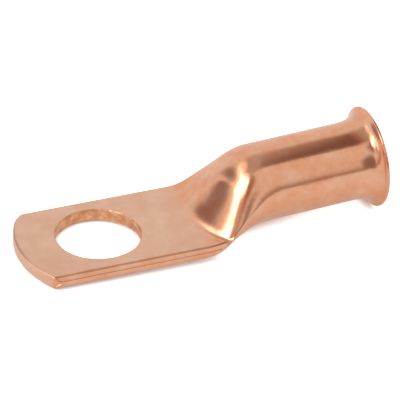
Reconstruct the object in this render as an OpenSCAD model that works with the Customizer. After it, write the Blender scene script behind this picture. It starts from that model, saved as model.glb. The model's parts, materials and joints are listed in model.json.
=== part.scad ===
// Copper cable lug: a length of copper tube whose front half is pressed flat
// into a palm with a stud hole, and whose open end is belled for the cable.
// Origin: centre of the stud hole on the palm's underside.
// +X runs along the lug to the cable mouth, +Z is up, away from the terminal.

/* [Tube] */
// Outside diameter of the round barrel
barrel_d = 12.8; // [12:0.1:13.6]
// Wall thickness of the tube
wall = 1.05; // [1:0.05:1.2]

/* [Palm] */
// Width of the flat palm
palm_w = 19.6; // [18:0.1:21]
// Distance from the stud hole's centre to the free end
palm_reach = 13.2; // [11:0.1:16]
// Radius of the sheared arc at the free end
end_r = 17.3; // [14:0.1:24]
// Corner radius where the end arc meets the long sides
corner_r = 1.2; // [0.6:0.1:2.5]
// Diameter of the stud hole
stud_d = 13.5; // [8.5:0.1:14]

/* [Ramp] */
// Distance from the stud hole to the crease where the ramp starts to rise
foot_x = 15.8; // [15.4:0.1:16]
// Radius of the crease, an arc that bows towards the stud hole
foot_r = 16.5; // [16:0.5:22]
// Distance from the stud hole to the place where the ramp reaches the barrel
ramp_end_x = 23; // [22.5:0.1:24.5]

/* [Barrel] */
// Distance from the stud hole to the rim of the cable mouth
mouth_x = 46.5; // [43:0.1:52]
// Height of the barrel's axis over the palm's underside, at axis_x
axis_z = 6; // [5.8:0.1:6.6]
// Upward tilt of the barrel against the palm, in degrees
tilt = 2.7; // [0:0.1:4]
// Radius of the bell's first, gentle opening, on the outside of the wall
bell_r = 7.8; // [6:0.1:9]
// Radius of the tight curl that follows it out to the lip
curl_r = 1.6; // [1.2:0.05:2]
// Thickness of the lip, where the bell has drawn the wall thin
lip_t = 0.55; // [0.4:0.05:0.8]

/* [Hidden] */
$fn = 96;

palm_t = 2 * wall;               // the two walls pressed together
barrel_r = barrel_d / 2;
bore_r = barrel_r - wall;
half_w = palm_w / 2;
axis_x = 26;                     // where axis_z is measured

// The transition is a loft of upright rings. It overlaps the palm and the
// barrel, and lies a hair inside both, so that no two faces coincide.
loft_start_x = 13;
palm_stop_x = 14;
barrel_start_x = 30.2;
loft_stop_x = 31;
hair = 0.02;
loft_rings = 30;
hollow_start_x = 14.3;
hollow_rings = 26;
quarter_points = 14;             // ring points from a side to the middle
slit = 0.03;                     // half the gap left where the walls meet

// Stretch over which the sides, the underside and the width change.
side_from_x = 16.9;
side_to_x = 22;
under_from_x = 15.8;
under_to_x = 27;
narrow_from_x = 16.7;
narrow_to_x = 26.7;
// Half-lengths of the rounded starts and ends of those stretches.
side_ease_in = 2.8;
side_ease_out = 2.3;
top_ease_out = 3.2;
narrow_ease_in = 2;
narrow_ease_out = 3.3;
crease_ease_middle = 2;          // soft in the middle of the crease
crease_ease_corner = 0.3;        // sharp at its two ends
crease_half_w = 8.5;

// The bell's outside turns through bell_turn at the radius bell_r, and on to
// curl_turn at the radius curl_r, where a round lip closes it.
bell_turn = 25;
curl_turn = 71;
bell_steps = 10;
curl_steps = 12;

// One side of the bell's wall, from its start at radius r and distance a along
// the axis, as points [radius, distance]. big and small are its two radii.
function bell_side(r, a, big, small) = concat(
    [for (i = [0 : bell_steps]) let (b = bell_turn * i / bell_steps)
     [r + big * (1 - cos(b)), a + big * sin(b)]],
    [for (i = [1 : curl_steps]) let (b = bell_turn + (curl_turn - bell_turn) * i / curl_steps)
     [r + big * (1 - cos(bell_turn)) + small * (cos(bell_turn) - cos(b)),
      a + big * sin(bell_turn) + small * (sin(b) - sin(bell_turn))]]);

// Distance along the axis at which the bell's outside starts. The inside
// starts earlier, on a larger radius, so that the wall thins to lip_t at the
// curl and keeps that thickness to the lip.
lip_reach = bell_side(0, 0, bell_r, curl_r)[bell_steps + curl_steps][1]
            + lip_t / 2 * (sin(curl_turn) + 1);
bell_a = (mouth_x - axis_x) / cos(tilt) - lip_reach;
inner_bell_r = bell_r + wall + (wall - lip_t) * cos(bell_turn) / (1 - cos(bell_turn));
inner_bell_a = bell_a + (bell_r + lip_t - inner_bell_r) * sin(bell_turn);

module on_axis() {
    translate([axis_x, 0, axis_z]) rotate([0, 90 - tilt, 0]) children();
}

// ---- Rings of the transition ----

// One quarter of a stadium of half-width a and half-height h, from its side
// to the middle of its top, at the fraction q of the quarter's length.
function quarter_stadium(q, a, h) =
    let (arc = PI * h / 2, s = q * (arc + a - h), turn = min(90, s / h * 180 / PI))
    [a - h + h * cos(turn) - max(0, s - arc), h * sin(turn)];

// The same quarter mirrored to give the full outline; u runs 0 to 4.
function on_stadium(u, a, h) =
    let (k = floor(u), f = u - k,
         p = k % 2 == 0 ? quarter_stadium(f, a, h) : quarter_stadium(1 - f, a, h))
    [(k == 0 || k == 3 ? 1 : -1) * p[0], (k < 2 ? 1 : -1) * p[1]];

function on_circle(u, r) = [r * cos(90 * u), r * sin(90 * u)];

// 0 before -e, the straight line d past +e, and a parabola between them.
function soft(d, e) = d < -e ? 0 : d > e ? d : pow(d + e, 2) / (4 * e);

// Rises from 0 to 1 between x0 and x1, with both corners rounded.
function rise(x, x0, x1, e0, e1) = (soft(x - x0, e0) - soft(x - x1, e1)) / (x1 - x0);

// Position of the crease at the distance y from the centre line.
function crease_x(y) =
    let (v = min(abs(y), crease_half_w))
    foot_x + foot_r - sqrt(foot_r * foot_r - v * v);

function crease_ease(y) =
    let (v = min(abs(y), crease_half_w) / crease_half_w)
    crease_ease_middle + (crease_ease_corner - crease_ease_middle) * v;

// One point of the ring at x. a and h are the flattened half-width and
// half-height, r is the round radius, and lag shifts the rise along X, which
// keeps the wall's thickness on the slope.
function ring_point(x, u, a, h, r, lag) =
    let (flat = on_stadium(u, a, h), tube = on_circle(u, r),
         level = flat[1] / h,
         top = pow(max(0, level), 3), under = pow(max(0, -level), 3),
         from = side_from_x + (crease_x(flat[0]) - side_from_x) * top
                + (under_from_x - side_from_x) * under + lag * (1 - under),
         to = side_to_x + (ramp_end_x - side_to_x) * top
              + (under_to_x - side_to_x) * under + lag * (1 - under),
         ease_in = side_ease_in + (crease_ease(flat[0]) - side_ease_in) * top,
         ease_out = side_ease_out + (top_ease_out - side_ease_out) * top,
         across = rise(x, narrow_from_x, narrow_to_x, narrow_ease_in, narrow_ease_out),
         up = rise(x, from, to, ease_in, ease_out),
         axis_here = axis_z + (x - axis_x) * tan(tilt))
    [x,
     flat[0] * (1 - across) + tube[0] * across,
     (flat[1] + palm_t / 2) * (1 - up) + (tube[1] + axis_here) * up];

// Skins a stack of closed rings, all with the same number of points.
module loft(rings) {
    n = len(rings[0]);
    last = len(rings) - 1;
    points = [for (ring = rings, p = ring) p];
    sides = [for (i = [0 : last - 1], j = [0 : n - 1])
             let (k = (j + 1) % n)
             each [[i * n + j, (i + 1) * n + j, (i + 1) * n + k],
                   [i * n + j, (i + 1) * n + k, i * n + k]]];
    first_cap = [[for (j = [0 : n - 1]) j]];
    last_cap = [[for (j = [n - 1 : -1 : 0]) last * n + j]];
    polyhedron(points, concat(first_cap, sides, last_cap), convexity = 6);
}

module transition_outside() {
    step = (loft_stop_x - loft_start_x) / loft_rings;
    loft([for (i = [0 : loft_rings]) let (x = loft_start_x + i * step)
          [for (j = [0 : 4 * quarter_points - 1])
           ring_point(x, j / quarter_points, half_w - hair, wall - hair, barrel_r - hair, 0)]]);
}

// A ring of the hollow, kept open. Beside the folds, where its underside would
// rise through its top, both lie half-way between, a slit apart.
function opened(ring) =
    let (n = len(ring))
    [for (j = [0 : n - 1])
     let (point = ring[j], twin = ring[(n - j) % n],
          side = sign(n / 2 - j) * sign(j),
          middle = (point[2] + twin[2]) / 2)
     [point[0], point[1], middle + side * max(slit, side * (point[2] - middle))]];

module transition_hollow() {
    step = (loft_stop_x - hollow_start_x) / hollow_rings;
    slope = atan(barrel_d / 2 / (ramp_end_x - foot_x));
    lag = wall * tan(slope / 2);
    loft([for (i = [0 : hollow_rings]) let (x = hollow_start_x + i * step)
          opened([for (j = [0 : 4 * quarter_points - 1])
                  ring_point(x, j / quarter_points, half_w - wall, slit, bore_r - hair, lag)])]);
}

// ---- Palm ----

// Outline of the palm from above: the strip between the long sides, cut by
// the end arc, with the two corners rounded by circles tangent to both.
module palm_outline() {
    arc_x = end_r - palm_reach;
    round_y = half_w - corner_r;
    round_x = arc_x - sqrt(pow(end_r - corner_r, 2) - round_y * round_y);
    beyond = 2 * corner_r;
    difference() {
        intersection() {
            translate([arc_x, 0]) circle(r = end_r, $fn = 192);
            translate([-palm_reach, -half_w]) square([palm_reach + palm_stop_x, palm_w]);
        }
        for (side = [-1, 1]) {
            away = [round_x - arc_x, side * round_y] / (end_r - corner_r);
            polygon([[round_x, side * round_y],
                     [round_x, side * (half_w + beyond)],
                     [round_x - 2 * beyond, side * (half_w + beyond)],
                     [round_x, side * round_y] + away * (corner_r + beyond)]);
        }
    }
    for (side = [-1, 1])
        translate([round_x, side * round_y]) circle(r = corner_r);
}

// The flattened tube: flat above and below, with half-round folded sides.
module flattened_tube() {
    length = palm_reach + palm_stop_x;
    translate([-palm_reach, -half_w + wall, 0]) cube([length, palm_w - palm_t, palm_t]);
    for (side = [-1, 1])
        translate([-palm_reach, side * (half_w - wall), wall])
            rotate([0, 90, 0]) cylinder(r = wall, h = length);
}

module palm() {
    intersection() {
        flattened_tube();
        translate([0, 0, -palm_t]) linear_extrude(3 * palm_t) palm_outline();
    }
}

module stud_hole() {
    translate([0, 0, -palm_t]) cylinder(d = stud_d, h = 3 * palm_t);
}

// ---- Barrel and bell, turned about the barrel's axis ----

// Half section of the wall: radius along x, distance along the axis along y.
module wall_section() {
    start_a = (barrel_start_x - axis_x) / cos(tilt);
    outside = bell_side(barrel_r, bell_a, bell_r, curl_r);
    inside = bell_side(bore_r, inner_bell_a, inner_bell_r, curl_r + lip_t);
    last = bell_steps + curl_steps;
    polygon(concat([[barrel_r, start_a]], outside,
                   [for (i = [last : -1 : 0]) inside[i]], [[bore_r, start_a]]));
    translate((outside[last] + inside[last]) / 2) circle(d = lip_t);
}

module barrel() {
    on_axis() rotate_extrude($fn = 128) wall_section();
}

// The one piece of copper.
module lug() {
    color([0.84, 0.57, 0.43])
    difference() {
        union() {
            palm();
            transition_outside();
            barrel();
        }
        transition_hollow();
        stud_hole();
    }
}

lug();
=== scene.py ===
"""Copper cable lug: one smooth skin of copper, from the sheared end of the palm
over the ramp and the barrel, round the bell's lip and back inside to where the
walls are pressed together.

Every shape here is a formula over a grid, worked out in millimetres in the
part's own frame: the origin is the stud hole's centre on the palm's underside,
+X runs to the cable mouth and +Z is up. A point of a cross-section is named by
u, which runs from 0 to 4 round it: 0 is the side at +Y, 1 the middle of the
top, 2 the side at -Y and 3 the middle of the underside.
"""
import json

import bmesh
import bpy
import numpy as np
from mathutils import Matrix, Vector


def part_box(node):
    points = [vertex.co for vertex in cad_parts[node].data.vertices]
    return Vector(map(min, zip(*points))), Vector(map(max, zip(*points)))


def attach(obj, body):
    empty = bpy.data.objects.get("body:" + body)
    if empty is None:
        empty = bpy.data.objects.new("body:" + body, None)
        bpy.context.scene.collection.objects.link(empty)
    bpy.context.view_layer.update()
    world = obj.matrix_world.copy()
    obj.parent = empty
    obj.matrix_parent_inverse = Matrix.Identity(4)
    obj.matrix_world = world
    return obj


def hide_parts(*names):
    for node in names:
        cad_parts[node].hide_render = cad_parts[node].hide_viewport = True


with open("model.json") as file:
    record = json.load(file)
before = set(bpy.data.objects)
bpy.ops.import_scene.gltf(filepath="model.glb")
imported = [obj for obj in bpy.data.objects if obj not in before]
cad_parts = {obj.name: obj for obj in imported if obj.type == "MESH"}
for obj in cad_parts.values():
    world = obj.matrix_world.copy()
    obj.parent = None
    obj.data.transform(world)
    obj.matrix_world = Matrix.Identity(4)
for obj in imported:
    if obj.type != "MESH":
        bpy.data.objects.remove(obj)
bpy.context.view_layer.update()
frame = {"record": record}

MM = 0.001

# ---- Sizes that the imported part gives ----

MOUNTS = {mount["name"]: mount for mount in frame["record"]["mounts"]}
lug_low, lug_high = (np.array(corner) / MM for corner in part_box("lug"))
palm_reach = -lug_low[0]
half_w = lug_high[1]
stud_r = MOUNTS["stud_hole"]["dims"]["r_mm"]
palm_t = MOUNTS["stud_hole"]["dims"]["length_mm"]
bore_r = MOUNTS["cable_barrel"]["dims"]["r_mm"]
bore_middle = np.array(MOUNTS["cable_barrel"]["pos_m"]) / MM
axis_way = np.array(MOUNTS["cable_barrel"]["axis"])
wall = palm_t / 2
barrel_r = bore_r + wall
slope = axis_way[2] / axis_way[0]

# ---- Sizes that the part's source sets and the record doesn't hold ----

end_r = 17.3
corner_r = 1.2
foot_x = 15.8
foot_r = 16.5
ramp_end_x = 23.0
side_from_x, side_to_x = 16.9, 22.0
under_from_x, under_to_x = 15.8, 27.0
narrow_from_x, narrow_to_x = 16.7, 26.7
side_ease_in, side_ease_out = 2.8, 2.3
top_ease_out = 3.2
narrow_ease_in, narrow_ease_out = 2.0, 3.3
crease_ease_middle, crease_ease_corner = 2.0, 0.3
fold_power = 3
lip_t = 0.55
axis_x = 26.0
mouth_x = 46.5
loft_stop_x = 31.0
hollow_start_x = 14.3
slit = 0.03

# ---- Where the skin departs from the source, whose two sides are alike ----

far_corner_r = 4.6                   # the end's far corner is more worn
far_foot_r = 60.0                    # the far end of the crease is straighter,
                                     # and the crease runs on over both folds
far_shift, near_shift = 1.5, 1.0     # each fold rises this much later
near_ease_in = 2.2                   # and the near one starts more sharply
near_power = 1                       # round the near fold the climb changes evenly with height
bell_r, bell_turn = 8.8, 17.3        # the bell's gentle arc is shorter
curl_r, curl_turn = 2.4, 66.0        # and its curl wider

# ---- Sizes of the fine forms ----

edge_r = 0.36          # burnished edge all round the sheared end
rim_r = 0.28           # rolled-over edge of the punched stud hole
rim_wave = 0.35        # which is wider and narrower by this share of it
breakout = 0.09        # the punched hole's torn lower half stands back this much
breakout_wave = 0.6    # more or less by this share of it
tear_share = 0.55      # the tear starts at about this share of the thickness,
tear_wander = 0.2      # higher or lower by this much round the hole,
tear_fade = 0.25       # and is fully torn this much further down
tear_edge = 0.06       # broken edge at its underside
terrace_x, terrace_y = 20.4, -0.7    # middle of the small terrace across the ramp
terrace_long, terrace_wide, terrace_lift, terrace_skew = 2.3, 0.85, 0.36, 0.3
palm_patch_x = 12.6    # the palm's flat sheets reach to here
end_strip = 0.7        # width of the strip between the end's edge and the flat sheets
ring_gap = 0.6         # the last ring of the ramp lies this far before the barrel's first


# ---- Cross-sections ----

def stadium(u, a, h):
    """A stadium of half-width a and half-height h, walked at an even pace: each
    quarter is a quarter circle of radius h followed by a straight of a - h."""
    quarter = np.floor(u).astype(int) % 4
    part = u - np.floor(u)
    arc = np.pi * h / 2

    def quarter_at(q):
        walked = q * (arc + a - h)
        turn = np.clip(walked / h, 0, np.pi / 2)
        return a - h + h * np.cos(turn) - np.clip(walked - arc, 0, None), h * np.sin(turn)

    y, z = quarter_at(np.where(quarter % 2 == 0, part, 1 - part))
    y = np.where((quarter == 0) | (quarter == 3), y, -y)
    z = np.where(quarter < 2, z, -z)
    return y, z


def soft(d, e):
    """0 before -e, the straight line d past +e, and a parabola between them."""
    return np.where(d < -e, 0.0, np.where(d > e, d, (d + e) ** 2 / (4 * e)))


def rise(x, start, stop, ease_in, ease_out):
    """A climb from 0 to 1 between start and stop, with both its corners rounded."""
    return (soft(x - start, ease_in) - soft(x - stop, ease_out)) / (stop - start)


def axis_z(x):
    """Height of the barrel's axis at x."""
    return bore_middle[2] + (x - bore_middle[0]) * slope


def crease_x(y):
    """The crease between palm and ramp: an arc that bows to -X, of radius
    foot_r on the near side and far_foot_r on the far side."""
    radius = np.where(y > 0, far_foot_r, foot_r)
    return foot_x + radius - np.sqrt(radius ** 2 - y ** 2)


def transition(x, u, a, h, r, lag=0.0):
    """Points of the pressed transition. Each moves from its place on the flat
    stadium (a, h) to its place on the circle of radius r as x grows: across by
    one climb that all share, and up by a climb that starts at the crease for
    the top, and at set places for the sides and the underside. Round a fold,
    the climb passes from the top's or the underside's to the side's as a power
    of the height above or below the middle. The crease is soft in its middle
    and to its far end, and sharpens in proportion to y towards its near end."""
    flat_y, flat_z = stadium(u, a, h)
    level = flat_z / h
    top = np.clip(level, 0, None) ** np.where(flat_y < 0, near_power, fold_power)
    under = np.clip(-level, 0, None) ** fold_power
    near = np.clip(-flat_y, 0, None) / half_w
    crease_ease = crease_ease_middle + (crease_ease_corner - crease_ease_middle) * near
    shift = np.where(flat_y > 0, far_shift, near_shift)
    near_ease = side_ease_in + (near_ease_in - side_ease_in) * (1 - under)
    side_ease = np.where(flat_y > 0, side_ease_in, near_ease)
    side_start = side_from_x + shift
    side_stop = side_to_x + shift
    start = (side_start + (crease_x(flat_y) - side_start) * top
             + (under_from_x - side_start) * under + lag * (1 - under))
    stop = (side_stop + (ramp_end_x - side_stop) * top
            + (under_to_x - side_stop) * under + lag * (1 - under))
    ease_in = side_ease + (crease_ease - side_ease) * top
    ease_out = side_ease_out + (top_ease_out - side_ease_out) * top
    across = rise(x, narrow_from_x, narrow_to_x, narrow_ease_in, narrow_ease_out)
    up = rise(x, start, stop, ease_in, ease_out)
    turn = u * np.pi / 2
    round_y = r * np.cos(turn)
    round_z = axis_z(x) + r * np.sin(turn) / axis_way[0]
    y = flat_y * (1 - across) + round_y * across
    z = (flat_z + palm_t / 2) * (1 - up) + round_z * up
    return np.stack(np.broadcast_arrays(x, y, z), axis=-1)


def turned(along, r, u):
    """Rings about the barrel's axis: along is the distance from axis_x on the
    axis and r the radius, one of each for every ring."""
    turn = u[None, :] * np.pi / 2
    side = r[:, None] * np.cos(turn)
    lift = r[:, None] * np.sin(turn)
    x = axis_x + along[:, None] * axis_way[0] - lift * axis_way[2]
    z = axis_z(axis_x) + along[:, None] * axis_way[2] + lift * axis_way[0]
    return np.stack([x, side, z], axis=-1)


def end_x(y):
    """Where the sheared end lies at y: the end arc, then the rounded corners."""
    arc_x = end_r - palm_reach
    round_r = np.where(y > 0, far_corner_r, corner_r)
    round_y = half_w - round_r
    round_x = arc_x - np.sqrt((end_r - round_r) ** 2 - round_y ** 2)
    touch_y = round_y * end_r / (end_r - round_r)
    v = np.minimum(np.abs(y), half_w)
    arc = arc_x - np.sqrt(end_r ** 2 - v ** 2)
    corner = round_x - np.sqrt(np.clip(round_r ** 2 - (v - round_y) ** 2, 0, None))
    return np.where(v < touch_y, arc, corner)


# ---- Samples ----

FOLD_STEPS = 22        # round a fold's quarter circle
FLAT_STEPS = 30        # and from there along the flat to the middle
FACE_ROWS, EDGE_ROWS = 5, 5
PALM_ROWS, SHEET_ROWS, ROLL_ROWS, FALL_ROWS = 44, 15, 6, 15
BEFORE_CREASE_ROWS, AFTER_CREASE_ROWS, HOLLOW_ROWS = 26, 90, 50
STRAIGHT_ROWS, BELL_ROWS, LIP_ROWS, BORE_ROWS = 20, 20, 12, 12
fold_share = (np.pi * wall / 2) / (np.pi * wall / 2 + half_w - wall)
quarter_u = np.concatenate([np.linspace(0, fold_share, FOLD_STEPS, endpoint=False),
                            np.linspace(fold_share, 1, FLAT_STEPS + 1)])
half_u = np.concatenate([quarter_u, 2 - quarter_u[-2::-1]])
ROUND_U = np.concatenate([half_u[:-1], half_u[:-1] + 2])
HALF = len(half_u) - 1
top_flat = slice(FOLD_STEPS, HALF - FOLD_STEPS + 1)


def spread_out(n, pull):
    """n numbers from 0 to 1 that lie close together at 0: the hyperbolic sine
    of pull times even steps, over that of pull."""
    return np.sinh(pull * np.linspace(0, 1, n)) / np.sinh(pull)


def ripple(angle, lowest, highest):
    """An uneven wave round a circle, about -1 to 1: a sum of whole-number
    cosines from lowest to highest, in steps of 2, with scattered phases."""
    waves = np.arange(lowest, highest, 2)
    total = np.cos(angle[..., None] * waves + (waves * 2.399) ** 2).sum(axis=-1)
    return total / np.sqrt(2 * len(waves))


# ---- Surfaces ----

def sheared_end():
    """Cut face and its burnished edge: rows that grow from the face's middle
    line to the full section, then round over by a quarter circle of edge_r,
    and a last row end_strip further on."""
    rows = []
    for spread in np.linspace(0, 1, FACE_ROWS):
        y, z = stadium(ROUND_U, half_w - edge_r, wall - edge_r)
        rows.append(np.stack([end_x(y * half_w / (half_w - edge_r)), y, wall + z * spread], axis=-1))
    for turn in np.linspace(0, np.pi / 2, EDGE_ROWS + 1)[1:]:
        inset = edge_r * (1 - np.sin(turn))
        y, z = stadium(ROUND_U, half_w - inset, wall - inset)
        x = end_x(y * half_w / (half_w - inset)) + edge_r * (1 - np.cos(turn))
        rows.append(np.stack([x, y, wall + z], axis=-1))
    y, z = stadium(ROUND_U, half_w, wall)
    rows.append(np.stack([end_x(y) + end_strip, y, wall + z], axis=-1))
    return np.stack(rows)


def folded_side(u, run):
    """One folded side of the palm: the section between two flats, drawn
    straight from the end strip to where the transition takes over."""
    y, z = stadium(u, half_w, wall)
    start = end_x(y) + end_strip
    x = start + (palm_patch_x - start) * run[:, None]
    return np.stack(np.broadcast_arrays(x, y, wall + z), axis=-1)


def palm_sheets(run):
    """Both flat sheets of the palm and the wall of the stud hole, as one band:
    in from the sheet's border on top to the hole, down its wall from a rolled
    upper edge to a broken lower one, and out again underneath. On the sheets,
    each point lies on the straight line from the border to the rim's circle.
    The wall is a cylinder down to the tear, and below that it stands back by
    breakout times an uneven wave of height and angle."""
    y_flat, _ = stadium(ROUND_U[top_flat], half_w, wall)
    edge_y = y_flat[0]
    far_start, near_start = end_x(np.array([edge_y, -edge_y])) + end_strip
    far_x = far_start + (palm_patch_x - far_start) * run[::-1]
    near_x = near_start + (palm_patch_x - near_start) * run
    border = np.concatenate([
        np.stack([far_x, np.full_like(far_x, edge_y)], axis=-1)[:-1],
        np.stack([end_x(y_flat) + end_strip, y_flat], axis=-1)[:-1],
        np.stack([near_x, np.full_like(near_x, -edge_y)], axis=-1)[:-1],
        np.stack([np.full_like(y_flat, palm_patch_x), y_flat[::-1]], axis=-1)[:-1]])
    outward = border / np.linalg.norm(border, axis=1, keepdims=True)
    angle = np.arctan2(outward[:, 1], outward[:, 0])
    torn = ripple(angle, 9, 31)
    worn = rim_r * (1 + rim_wave * ripple(angle, 3, 13))
    under_rim = stud_r + breakout + tear_edge
    inward = np.linspace(0, 1, SHEET_ROWS)[:, None, None] ** 0.8
    top = border * (1 - inward) + outward * (stud_r + worn)[:, None] * inward
    under = border * (1 - inward) + outward * under_rim * inward

    roll = np.linspace(0, np.pi / 2, ROLL_ROWS + 1)[1:, None]
    fall = np.linspace(0, 1, FALL_ROWS + 1)[1:, None]
    roll_z = palm_t - worn * (1 - np.cos(roll))
    fall_z = (palm_t - worn) * (1 - fall) + tear_edge * fall
    tear = np.clip((tear_share * palm_t + tear_wander * torn - fall_z) / tear_fade, 0, 1)
    rough = 1 + breakout_wave * np.cos(9 * fall_z + 5 * torn) * torn
    wall_r = np.concatenate([stud_r + worn * (1 - np.sin(roll)),
                             stud_r + breakout * tear * rough])
    bore = wall_r[..., None] * outward
    plan = np.concatenate([top, bore, under[::-1]])
    z = np.concatenate([np.full(top.shape[:2], palm_t), roll_z, fall_z,
                        np.zeros(under.shape[:2])])
    return np.concatenate([plan, z[..., None]], axis=-1)


def bell_side(r, along, big, small, steps):
    """One side of the bell's wall from its start at radius r and distance
    along: an arc of radius big through bell_turn, then one of radius small on
    to curl_turn. Gives distances along the axis and radii."""
    turn, final = np.radians([bell_turn, curl_turn])
    first = np.linspace(0, turn, steps)
    then = np.linspace(turn, final, steps)[1:]
    knee_along, knee_r = along + big * np.sin(turn), r + big * (1 - np.cos(turn))
    return (np.concatenate([along + big * np.sin(first),
                            knee_along + small * (np.sin(then) - np.sin(turn))]),
            np.concatenate([r + big * (1 - np.cos(first)),
                            knee_r + small * (np.cos(turn) - np.cos(then))]))


def barrel_wall(start):
    """The barrel's section from start out to the mouth, round the lip and back
    in: distances along the axis and radii. The inside opens earlier, on a
    larger radius, so that the wall thins to lip_t at the curl."""
    turn, final = np.radians([bell_turn, curl_turn])
    reach = bell_side(0, 0, bell_r, curl_r, 2)[0][-1] + lip_t / 2 * (np.sin(final) + 1)
    bell = (mouth_x - axis_x) / axis_way[0] - reach
    inner_bell_r = bell_r + wall + (wall - lip_t) * np.cos(turn) / (1 - np.cos(turn))
    inner_bell = bell + (bell_r + lip_t - inner_bell_r) * np.sin(turn)
    out_along, out_r = bell_side(barrel_r, bell, bell_r, curl_r, BELL_ROWS)
    in_along, in_r = bell_side(bore_r, inner_bell, inner_bell_r, curl_r + lip_t, BELL_ROWS)
    lip_along, lip_r = (out_along[-1] + in_along[-1]) / 2, (out_r[-1] + in_r[-1]) / 2
    round_lip = final - np.linspace(0, np.pi, LIP_ROWS)[1:-1]
    straight = np.linspace(start, bell, STRAIGHT_ROWS)[:-1]
    bore = np.linspace(inner_bell, start, BORE_ROWS)[1:]
    along = np.concatenate([straight, out_along, lip_along - lip_t / 2 * np.sin(round_lip),
                            in_along[::-1], bore])
    r = np.concatenate([np.full_like(straight, barrel_r), out_r,
                        lip_r + lip_t / 2 * np.cos(round_lip),
                        in_r[::-1], np.full_like(bore, bore_r)])
    return along, r


def ramp_and_barrel():
    """The rest of the skin in one run of rings: the transition, whose rows
    follow the crease so that it stays crisp, the straight barrel, the bell, the
    round lip, the bell's inside, the bore and the hollow, which ends in a slit.
    The terrace adds -d exp(-d^2 - w^2) to the height of the top, where d is the
    distance beyond its slanted middle line and w the distance across, each as a
    share of its size. The hollow's top and underside are held a slit either side
    of their mean height where they would cross."""
    y, _ = stadium(ROUND_U, half_w, wall)
    foot = crease_x(y)[None, :]
    last_x = loft_stop_x - ring_gap
    before = 1 - spread_out(BEFORE_CREASE_ROWS, 2.5)[::-1, None]
    after = spread_out(AFTER_CREASE_ROWS, 2.2)[1:, None]
    x = np.concatenate([palm_patch_x + (foot - palm_patch_x) * before,
                        foot + (last_x - foot) * after])
    outside = transition(x, ROUND_U[None, :], half_w, wall, barrel_r)
    across = outside[..., 1] - terrace_y
    beyond = (outside[..., 0] - terrace_x + terrace_skew * across) / terrace_wide
    terrace = -beyond * np.exp(-beyond ** 2 - (across / terrace_long) ** 2)
    outside[..., 2] += np.where(np.sin(ROUND_U * np.pi / 2) > 0, terrace_lift * terrace, 0)

    along, r = barrel_wall((loft_stop_x - axis_x) / axis_way[0])
    barrel = turned(along, r, ROUND_U)

    hollow_x = np.linspace(last_x, hollow_start_x, HOLLOW_ROWS)[:, None]
    ramp_slope = np.arctan(barrel_r / (ramp_end_x - foot_x))
    hollow = transition(hollow_x, ROUND_U[None, :], half_w - wall, slit, bore_r,
                        lag=wall * np.tan(ramp_slope / 2))
    twin_z = np.roll(hollow[:, ::-1, 2], 1, axis=1)
    middle = (hollow[..., 2] + twin_z) / 2
    above = np.sign(np.sin(ROUND_U * np.pi / 2).round(9))
    hollow[..., 2] = middle + above * np.maximum(slit, above * (hollow[..., 2] - middle))
    pinch = hollow[-1:].copy()
    pinch[..., 0] -= slit
    pinch[..., 2] = middle[-1:]
    return np.concatenate([outside, barrel, hollow, pinch])


# ---- Meshes ----

merge_within = 0.0005


def grid_faces(rows, columns, closed, first=0):
    """Quads of a grid of vertices numbered row by row from first. A closed grid
    joins its last column to its first."""
    row, column = np.meshgrid(np.arange(rows - 1), np.arange(columns if closed else columns - 1),
                              indexing="ij")
    following = (column + 1) % columns
    corners = [row * columns + column, (row + 1) * columns + column,
               (row + 1) * columns + following, row * columns + following]
    return first + np.stack([c.ravel() for c in corners], axis=-1)


def mesh_object(name, grids):
    """One closed mesh from grids of points in millimetres, each given with
    whether it closes on itself. Borders that coincide are merged."""
    points, faces, count = [], [], 0
    for grid, closed in grids:
        rows, columns = grid.shape[:2]
        points.append(grid.reshape(-1, 3))
        faces.append(grid_faces(rows, columns, closed, count))
        count += rows * columns
    mesh = bpy.data.meshes.new(name)
    mesh.from_pydata((np.concatenate(points) * MM).tolist(), [], np.concatenate(faces).tolist())
    work = bmesh.new()
    work.from_mesh(mesh)
    bmesh.ops.remove_doubles(work, verts=work.verts, dist=merge_within * MM)
    bmesh.ops.recalc_face_normals(work, faces=work.faces)
    open_edges = [edge for edge in work.edges if len(edge.link_faces) != 2]
    if open_edges:
        raise ValueError(f"{name} isn't closed: {len(open_edges)} open edges, "
                         f"first at {open_edges[0].verts[0].co / MM}")
    work.to_mesh(mesh)
    work.free()
    mesh.shade_smooth()
    piece = bpy.data.objects.new(name, mesh)
    bpy.context.scene.collection.objects.link(piece)
    return piece


# ---- Materials ----

def linear(hex_colour):
    """sRGB hex to linear RGBA."""
    s = np.array([int(hex_colour[i:i + 2], 16) for i in (1, 3, 5)]) / 255
    value = np.where(s <= 0.04045, s / 12.92, ((s + 0.055) / 1.055) ** 2.4)
    return (*value.tolist(), 1.0)


def add(tree, kind, inputs=(), **settings):
    """Adds a node. inputs maps a socket's name or number to a value, or to
    another node's output socket, which is linked."""
    node = tree.nodes.new(kind)
    for name, value in settings.items():
        setattr(node, name, value)
    for socket, value in dict(inputs).items():
        if isinstance(value, bpy.types.NodeSocket):
            tree.links.new(value, node.inputs[socket])
        else:
            node.inputs[socket].default_value = value
    return node


def new_material(name):
    """An empty node material and its tree."""
    material = bpy.data.materials.new(name)
    material.use_nodes = True
    material.node_tree.nodes.clear()
    return material, material.node_tree


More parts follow.
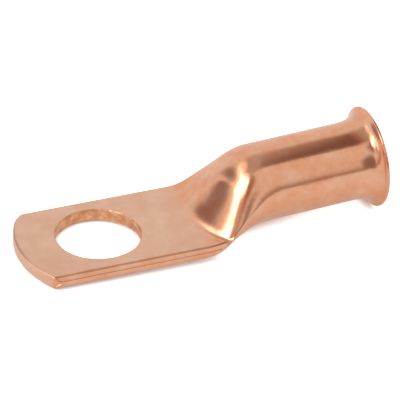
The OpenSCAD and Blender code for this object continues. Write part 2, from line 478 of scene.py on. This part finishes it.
DRAWN_SKIN = ("#F0A880", "#F6BD9B")       # each skin's redder and paler colour
SATIN_SKIN = ("#EDBA9B", "#F3C7AC")
# the torn wall's uneven tone: its paler colour is partly a painted highlight, standing in for glints on
# the hole's wall
TORN_SKIN_AND_GLINTS = ("#E59C6C", "#FBC59A")
drawn_rough, satin_rough, torn_rough = 0.17, 0.37, 0.3
satin_ends_x, satin_full_x = 17.2, 13.5   # the palm's satin fades out between these
flat_ends, flat_full = 0.3, -0.1          # and between these, out from the folds' inner edge
torn_ends, torn_full = 0.22, 0.12         # the torn wall's colour, outside stud_r
bloom_size, mottle_glint_size, grain_size, grain_depth = 3.2, 1.3, 0.5, 0.25
line_long, line_wide, line_depth = 7.0, 0.4, 0.06   # drawn wide enough to show
skin_bump, torn_bump, line_bump = 0.03, 0.9, 0.12


def bare_copper():
    """Bare electrolytic copper tube, cold pressed. The barrel, the ramp and the
    palm's folded sides keep the drawn skin, which is bright, with faint lines
    along the tube and a slightly uneven, redder bloom; the palm's flats take
    the press's paler satin; the wall of the punched hole is torn and rough,
    with an uneven tone whose paler patches are partly painted highlights
    that stand in for glints on the wall."""
    material, tree = new_material("bare_copper")
    place = add(tree, "ShaderNodeTexCoord").outputs["Object"]
    apart = add(tree, "ShaderNodeSeparateXYZ", {0: place})

    on_palm = add(tree, "ShaderNodeMapRange", {"Value": apart.outputs["X"],
                                               "From Min": satin_ends_x * MM,
                                               "From Max": satin_full_x * MM},
                  interpolation_type="SMOOTHSTEP")
    sideways = add(tree, "ShaderNodeMath", {0: apart.outputs["Y"]}, operation="ABSOLUTE")
    on_flat = add(tree, "ShaderNodeMapRange", {"Value": sideways.outputs[0],
                                               "From Min": (half_w - wall + flat_ends) * MM,
                                               "From Max": (half_w - wall + flat_full) * MM})
    pressed = add(tree, "ShaderNodeMath", {0: on_palm.outputs["Result"],
                                           1: on_flat.outputs["Result"]},
                  operation="MULTIPLY").outputs[0]
    flat = add(tree, "ShaderNodeCombineXYZ", {0: apart.outputs["X"], 1: apart.outputs["Y"]})
    from_hole = add(tree, "ShaderNodeVectorMath", {0: flat.outputs[0]}, operation="LENGTH")
    torn = add(tree, "ShaderNodeMapRange", {"Value": from_hole.outputs["Value"],
                                            "From Min": (stud_r + torn_ends) * MM,
                                            "From Max": (stud_r + torn_full) * MM}).outputs["Result"]

    bloom = add(tree, "ShaderNodeTexNoise", {"Vector": place, "Scale": 1 / (bloom_size * MM),
                                             "Detail": 4.0, "Roughness": 0.6})
    bloomed = add(tree, "ShaderNodeMapRange", {"Value": bloom.outputs["Fac"], "From Min": 0.35,
                                               "From Max": 0.65})
    drawn_skin = add(tree, "ShaderNodeMix", {"Factor": bloomed.outputs["Result"],
                                             6: linear(DRAWN_SKIN[0]), 7: linear(DRAWN_SKIN[1])},
                     data_type="RGBA").outputs[2]
    satin_skin = add(tree, "ShaderNodeMix", {"Factor": bloomed.outputs["Result"],
                                             6: linear(SATIN_SKIN[0]), 7: linear(SATIN_SKIN[1])},
                     data_type="RGBA").outputs[2]
    skin = add(tree, "ShaderNodeMix", {"Factor": pressed, 6: drawn_skin, 7: satin_skin},
               data_type="RGBA").outputs[2]
    grain = add(tree, "ShaderNodeTexNoise", {"Vector": place, "Scale": 1 / (grain_size * MM),
                                             "Detail": 3.0})
    # uneven tone on the torn wall, where the pale patches are partly painted glints
    mottle_glint_noise = add(tree, "ShaderNodeTexNoise", {"Vector": place, "Scale": 1 / (mottle_glint_size * MM),
                                               "Detail": 2.0})
    mottle_and_glints = add(tree, "ShaderNodeMapRange", {"Value": mottle_glint_noise.outputs["Fac"], "From Min": 0.36,
                                               "From Max": 0.64})
    torn_skin_and_glints = add(tree, "ShaderNodeMix", {"Factor": mottle_and_glints.outputs["Result"],
                                            6: linear(TORN_SKIN_AND_GLINTS[0]), 7: linear(TORN_SKIN_AND_GLINTS[1])},
                    data_type="RGBA").outputs[2]
    shade = add(tree, "ShaderNodeMix", {"Factor": torn, 6: skin, 7: torn_skin_and_glints},
                data_type="RGBA").outputs[2]

    satin = add(tree, "ShaderNodeMix", {"Factor": pressed, 2: drawn_rough, 3: satin_rough},
                data_type="FLOAT")
    rough = add(tree, "ShaderNodeMix", {"Factor": torn, 2: satin.outputs[0], 3: torn_rough},
                data_type="FLOAT")

    stretched = add(tree, "ShaderNodeMapping", {"Vector": place,
                                                "Scale": (1 / (line_long * MM),
                                                          1 / (line_wide * MM),
                                                          1 / (line_wide * MM))})
    lines = add(tree, "ShaderNodeTexNoise", {"Vector": stretched.outputs["Vector"], "Scale": 1.0,
                                             "Detail": 3.0})
    drawn = add(tree, "ShaderNodeBump", {"Height": lines.outputs["Fac"], "Strength": line_bump,
                                         "Distance": line_depth * MM})
    coarse = add(tree, "ShaderNodeMath", {0: torn, 1: torn_bump, 2: skin_bump},
                 operation="MULTIPLY_ADD")
    bump = add(tree, "ShaderNodeBump", {"Height": grain.outputs["Fac"],
                                        "Strength": coarse.outputs[0],
                                        "Distance": grain_depth * MM, "Normal": drawn.outputs["Normal"]})
    shader = add(tree, "ShaderNodeBsdfPrincipled",
                 {"Base Color": shade, "Metallic": 1.0, "Roughness": rough.outputs[0],
                  "Normal": bump.outputs["Normal"]})
    add(tree, "ShaderNodeOutputMaterial", {"Surface": shader.outputs["BSDF"]})
    return material


# ---- The lug ----

RUN = np.linspace(0, 1, PALM_ROWS)
sides = [np.arange(-FOLD_STEPS, FOLD_STEPS + 1), np.arange(HALF - FOLD_STEPS, HALF + FOLD_STEPS + 1)]
lug = mesh_object("copper_lug", [
    (sheared_end(), True),
    *[(folded_side(ROUND_U[side], RUN), False) for side in sides],
    (palm_sheets(RUN), True),
    (ramp_and_barrel(), True),
])
lug.data.materials.append(bare_copper())
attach(lug, "root")
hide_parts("lug")


# ---- Floor, studio and camera ----

flag_z = 66.0                              # the flag over the barrel, and its edges
flag_left, flag_right = -20.0, 120.0
flag_near, flag_far = -24.0, 42.0
near_clear, near_fade_to = 2.0, 8.0        # its near edge fades in over this stretch
far_fade = 22.0                            # and its far edge over this width
flag_half_x, flag_full_x = 30.0, 60.0      # it thickens between these, on a slant
card_distance = 50.0
floor_glow_seen, floor_glow_mirrored = 0.8, 0.42   # the paper's own light
contact_reach = 1.3                        # width of the shade where the lug meets the paper
white = (1.0, 1.0, 1.0, 1.0)
dome_grey = (0.8, 0.8, 0.8, 1.0)


def flat_piece(name, corners, material):
    """A single quad, in millimetres, that is part of the stage."""
    mesh = bpy.data.meshes.new(name)
    mesh.from_pydata((np.array(corners) * MM).tolist(), [], [(0, 1, 2, 3)])
    piece = bpy.data.objects.new(name, mesh)
    piece.data.materials.append(material)
    bpy.context.scene.collection.objects.link(piece)
    return piece


def white_paper():
    """Matte white paper. The eye sees it as white, a little shaded within
    contact_reach of the lug, and a mirror sees a duller white; the object's
    shadow still falls on it."""
    material, tree = new_material("white_paper")
    path = add(tree, "ShaderNodeLightPath")
    open_sky = add(tree, "ShaderNodeAmbientOcclusion", {"Distance": contact_reach * MM}, samples=8)
    glow_seen = add(tree, "ShaderNodeMath", {0: open_sky.outputs["AO"], 1: floor_glow_seen},
                    operation="MULTIPLY")
    seen = add(tree, "ShaderNodeMath", {0: path.outputs["Is Camera Ray"],
                                        1: glow_seen.outputs[0]}, operation="MULTIPLY")
    mirrored = add(tree, "ShaderNodeMath", {0: path.outputs["Is Glossy Ray"],
                                            1: floor_glow_mirrored},
                   operation="MULTIPLY")
    lift = add(tree, "ShaderNodeMath", {0: seen.outputs[0], 1: mirrored.outputs[0]},
               operation="ADD")
    paper_colour = add(tree, "ShaderNodeMix", {"Factor": path.outputs["Is Glossy Ray"],
                                               6: linear("#F4F4F4"), 7: linear("#AEAEAE")},
                       data_type="RGBA")
    paper = add(tree, "ShaderNodeBsdfDiffuse", {"Color": paper_colour.outputs[2]})
    glow = add(tree, "ShaderNodeEmission", {"Strength": lift.outputs[0]})
    both = add(tree, "ShaderNodeAddShader", {0: paper.outputs[0], 1: glow.outputs[0]})
    add(tree, "ShaderNodeOutputMaterial", {"Surface": both.outputs[0]})
    return material


def lay_floor():
    """A wide floor that just clears the palm's free end and the bell's lip."""
    slant = lug_low[2] / (lug_high[0] + palm_reach)
    reach = 1500.0
    sunk = 0.02
    corners = [(axis_x + sx * reach, sy * reach,
                (axis_x + sx * reach + palm_reach) * slant - sunk)
               for sx, sy in ((-1, -1), (1, -1), (1, 1), (-1, 1))]
    return flat_piece("floor", corners, white_paper())


def overhead_cover(tree, place):
    """How dense the flag over the barrel is: half at its left end and full to
    the right, fading out towards its far side, with a soft near edge."""
    apart = add(tree, "ShaderNodeSeparateXYZ", {0: place})
    slanted = add(tree, "ShaderNodeMath", {0: apart.outputs["Y"], 1: -0.5,
                                           2: apart.outputs["X"]}, operation="MULTIPLY_ADD")
    along = add(tree, "ShaderNodeMapRange", {"Value": slanted.outputs[0],
                                             "From Min": flag_half_x * MM,
                                             "From Max": flag_full_x * MM,
                                             "To Min": 0.5, "To Max": 1.0},
                interpolation_type="SMOOTHSTEP")
    far_edge = add(tree, "ShaderNodeMapRange", {"Value": apart.outputs["Y"],
                                                "From Min": flag_far * MM,
                                                "From Max": (flag_far - far_fade) * MM},
                   interpolation_type="SMOOTHSTEP")
    near_edge = add(tree, "ShaderNodeMapRange", {"Value": apart.outputs["Y"],
                                                 "From Min": (flag_near + near_clear) * MM,
                                                 "From Max": (flag_near + near_fade_to) * MM})
    edges = add(tree, "ShaderNodeMath", {0: far_edge.outputs["Result"],
                                         1: near_edge.outputs["Result"]}, operation="MULTIPLY")
    return add(tree, "ShaderNodeMath", {0: along.outputs["Result"],
                                        1: edges.outputs[0]}, operation="MULTIPLY").outputs[0]


def disc_cover(middle, inner, outer):
    """A cover for flag_cloth: a disc about middle with a soft edge, full within
    inner and clear beyond outer, in millimetres."""
    def cover(tree, place):
        offset = add(tree, "ShaderNodeVectorMath", {0: place, 1: tuple(middle * MM)},
                     operation="SUBTRACT")
        away = add(tree, "ShaderNodeVectorMath", {0: offset.outputs[0]}, operation="LENGTH")
        return add(tree, "ShaderNodeMapRange", {"Value": away.outputs["Value"],
                                                "From Min": outer * MM, "From Max": inner * MM},
                   interpolation_type="SMOOTHSTEP").outputs["Result"]
    return cover


def flag_cloth(name, colour, cover_of):
    """A cloth of one even colour that only a mirror sees, as dense as cover_of
    says."""
    material, tree = new_material(name)
    cover = cover_of(tree, add(tree, "ShaderNodeTexCoord").outputs["Object"])
    path = add(tree, "ShaderNodeLightPath")
    shown = add(tree, "ShaderNodeMath", {0: cover, 1: path.outputs["Is Glossy Ray"]},
                operation="MULTIPLY")
    dark = add(tree, "ShaderNodeEmission", {"Color": linear(colour), "Strength": 1.0})
    clear = add(tree, "ShaderNodeBsdfTransparent")
    both = add(tree, "ShaderNodeMixShader", {0: shown.outputs[0], 1: clear.outputs[0],
                                             2: dark.outputs[0]})
    add(tree, "ShaderNodeOutputMaterial", {"Surface": both.outputs[0]})
    return material


def toward(azimuth, elevation):
    """Unit vector at an azimuth measured from +Y towards +X, in degrees."""
    a, e = np.radians([azimuth, elevation])
    return (np.sin(a) * np.cos(e), np.cos(a) * np.cos(e), np.sin(e))


def hang_card(name, seen_from, azimuth, elevation, inner, outer, colour):
    """A round card that faces the point seen_from and hangs card_distance
    away from it, at an azimuth and an elevation as toward takes them. It is
    full within inner of its middle and clear beyond outer."""
    way = np.array(toward(azimuth, elevation))
    side = np.array(toward(azimuth + 90, 0))
    up = np.cross(side, way)
    middle = np.array(seen_from) + card_distance * way
    corners = [middle + outer * (sx * side + sz * up)
               for sx, sz in ((-1, -1), (1, -1), (1, 1), (-1, 1))]
    return flat_piece(name, corners, flag_cloth(name + "_cloth", colour,
                                                disc_cover(middle, inner, outer)))


def patch(tree, direction, base, centre, inner, outer, colour, strength):
    """Paints colour times strength over base within a cone about centre: fully
    inside the angle inner and not at all outside the angle outer, in degrees."""
    facing = add(tree, "ShaderNodeVectorMath", {0: direction, 1: toward(*centre)},
                 operation="DOT_PRODUCT")
    share = add(tree, "ShaderNodeMapRange",
                {"Value": facing.outputs["Value"], "From Min": float(np.cos(np.radians(outer))),
                 "From Max": float(np.cos(np.radians(inner)))}, interpolation_type="SMOOTHSTEP")
    paint = tuple(strength * part for part in linear(colour)[:3]) + (1.0,)
    return add(tree, "ShaderNodeMix", {"Factor": share.outputs["Result"], 6: base, 7: paint},
               data_type="RGBA").outputs[2]


def light_studio():
    """A softbox tent: an even dome, darker along the horizon in front and where
    the tent is open, with bright boxes to the left. The camera sees plain
    white."""
    world = bpy.data.worlds.new("studio")
    bpy.context.scene.world = world
    world.use_nodes = True
    tree = world.node_tree
    tree.nodes.clear()
    direction = add(tree, "ShaderNodeTexCoord").outputs["Generated"]
    parts = add(tree, "ShaderNodeSeparateXYZ", {0: direction})
    low = add(tree, "ShaderNodeMapRange", {"Value": parts.outputs["Z"], "From Min": 0.28,
                                           "From Max": 0.0})
    front = add(tree, "ShaderNodeMapRange", {"Value": parts.outputs["Y"], "From Min": 0.1,
                                             "From Max": -0.3})
    horizon = add(tree, "ShaderNodeMath", {0: low.outputs["Result"],
                                           1: front.outputs["Result"]}, operation="MULTIPLY")
    dome = add(tree, "ShaderNodeMix", {"Factor": horizon.outputs[0],
                                       6: dome_grey, 7: linear("#90695C")},
               data_type="RGBA").outputs[2]
    # where it is, full within, gone beyond, colour, strength
    for paint in (((-172, 18), 10, 24, "#8E7A78", 1.0),
                  ((-139, 50), 4, 21, "#9A867C", 1.0),
                  ((-62, 50), 8, 16, "#FFF8FA", 1.9),
                  ((-100, 24), 6, 13, "#FFF8FA", 1.8),
                  ((-93, 43), 9, 13, "#FFF8FA", 3.8),
                  ((-109, 47), 9, 15, "#FFF8FA", 5.0)):
        dome = patch(tree, direction, dome, *paint)
    path = add(tree, "ShaderNodeLightPath")
    shown = add(tree, "ShaderNodeMix", {"Factor": path.outputs["Is Camera Ray"], 6: dome,
                                        7: white}, data_type="RGBA")
    sky = add(tree, "ShaderNodeBackground", {"Color": shown.outputs[2]})
    add(tree, "ShaderNodeOutputWorld", {"Surface": sky.outputs[0]})


def place_camera():
    """A long lens that looks down on the lug's near side, turned a little
    towards the palm's end and rolled about its own line of sight."""
    azimuth, elevation, roll = np.radians([-22.9, 33.39, 2.15])
    target = np.array([19.915, 6.587, 0.0])
    distance = 405.14
    back = np.array([np.sin(azimuth) * np.cos(elevation), -np.cos(azimuth) * np.cos(elevation),
                     np.sin(elevation)])
    right = np.cross(-back, [0, 0, 1])
    right /= np.linalg.norm(right)
    up = np.cross(right, -back)
    turned_right = right * np.cos(roll) + up * np.sin(roll)
    turned_up = up * np.cos(roll) - right * np.sin(roll)
    data = bpy.data.cameras.new("camera")
    data.sensor_width = 36.0
    data.lens = 225.0
    data.clip_start = 0.01
    camera = bpy.data.objects.new("camera", data)
    rows = np.stack([turned_right, turned_up, back], axis=1)
    place = Matrix(rows.tolist()).to_4x4()
    place.translation = Vector(((target + back * distance) * MM).tolist())
    camera.matrix_world = place
    bpy.context.scene.collection.objects.link(camera)
    bpy.context.scene.camera = camera


overhead_flag = flat_piece("overhead_flag",
                           [(flag_left, flag_near, flag_z), (flag_right, flag_near, flag_z),
                            (flag_right, flag_far, flag_z), (flag_left, flag_far, flag_z)],
                           flag_cloth("overhead_cloth", "#7A5F57", overhead_cover))
cards = [hang_card("ramp_card", (18.5, -1.5, 6.0), -56, 19, 9, 24, "#998B8F"),
         hang_card("slope_card", (20.2, -7.4, 4.6), -125, 40, 6, 14, "#CBB0A6")]
lay_floor()
light_studio()
place_camera()
bpy.context.scene.view_settings.view_transform = "Standard"
